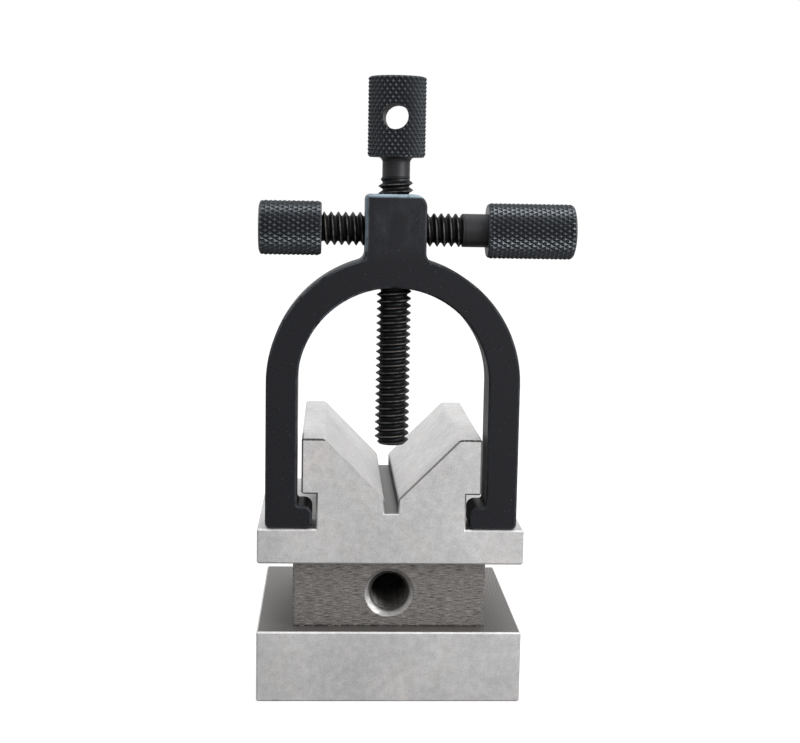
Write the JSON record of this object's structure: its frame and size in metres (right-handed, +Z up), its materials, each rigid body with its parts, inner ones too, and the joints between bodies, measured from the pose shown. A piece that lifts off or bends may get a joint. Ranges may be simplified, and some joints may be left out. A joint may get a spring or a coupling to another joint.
{
  "type": "v block",
  "caption": "Steel V block with waist and side undercuts, and a clamp yoke over the V that carries a knurled clamp screw and knurled side screws.",
  "frame": {"origin": "centre of the block's base", "axes": "+Z up from the base, +Y along the V from the tapped front face to the back, +X across the block towards the long side screw"},
  "size_m": [0.0561, 0.0452, 0.1113],
  "materials": {
    "ground_steel": "ground faces with fine cutter lines, milled recesses",
    "black_yoke": "blackened, dull satin",
    "black_screw": "blackened, oily sheen, rubbed brighter on the knurl's crests"
  },
  "bodies": {
    "block": {"v_block": "ground_steel"},
    "yoke": {"clamp_yoke": "black_yoke"},
    "main_screw": {"clamp_screw": "black_screw"},
    "left_screw": {"left_side_screw": "black_screw"},
    "right_screw": {"right_side_screw": "black_screw"}
  },
  "joints": [
    {"name": "yoke_slide", "type": "slide", "parent": "block", "child": "yoke", "axis": [0, 1, 0], "range_m": [0, 0.03572]},
    {"name": "clamp_screw_travel", "type": "slide", "parent": "yoke", "child": "main_screw", "axis": [0, 0, 1], "range_m": [-0.0062, 0.0275]},
    {"name": "left_screw_travel", "type": "slide", "parent": "yoke", "child": "left_screw", "axis": [-1, 0, 0], "range_m": [-0.00045, 0.0013]},
    {"name": "right_screw_travel", "type": "slide", "parent": "yoke", "child": "right_screw", "axis": [1, 0, 0], "range_m": [-0.00045, 0.0013]}
  ]
}
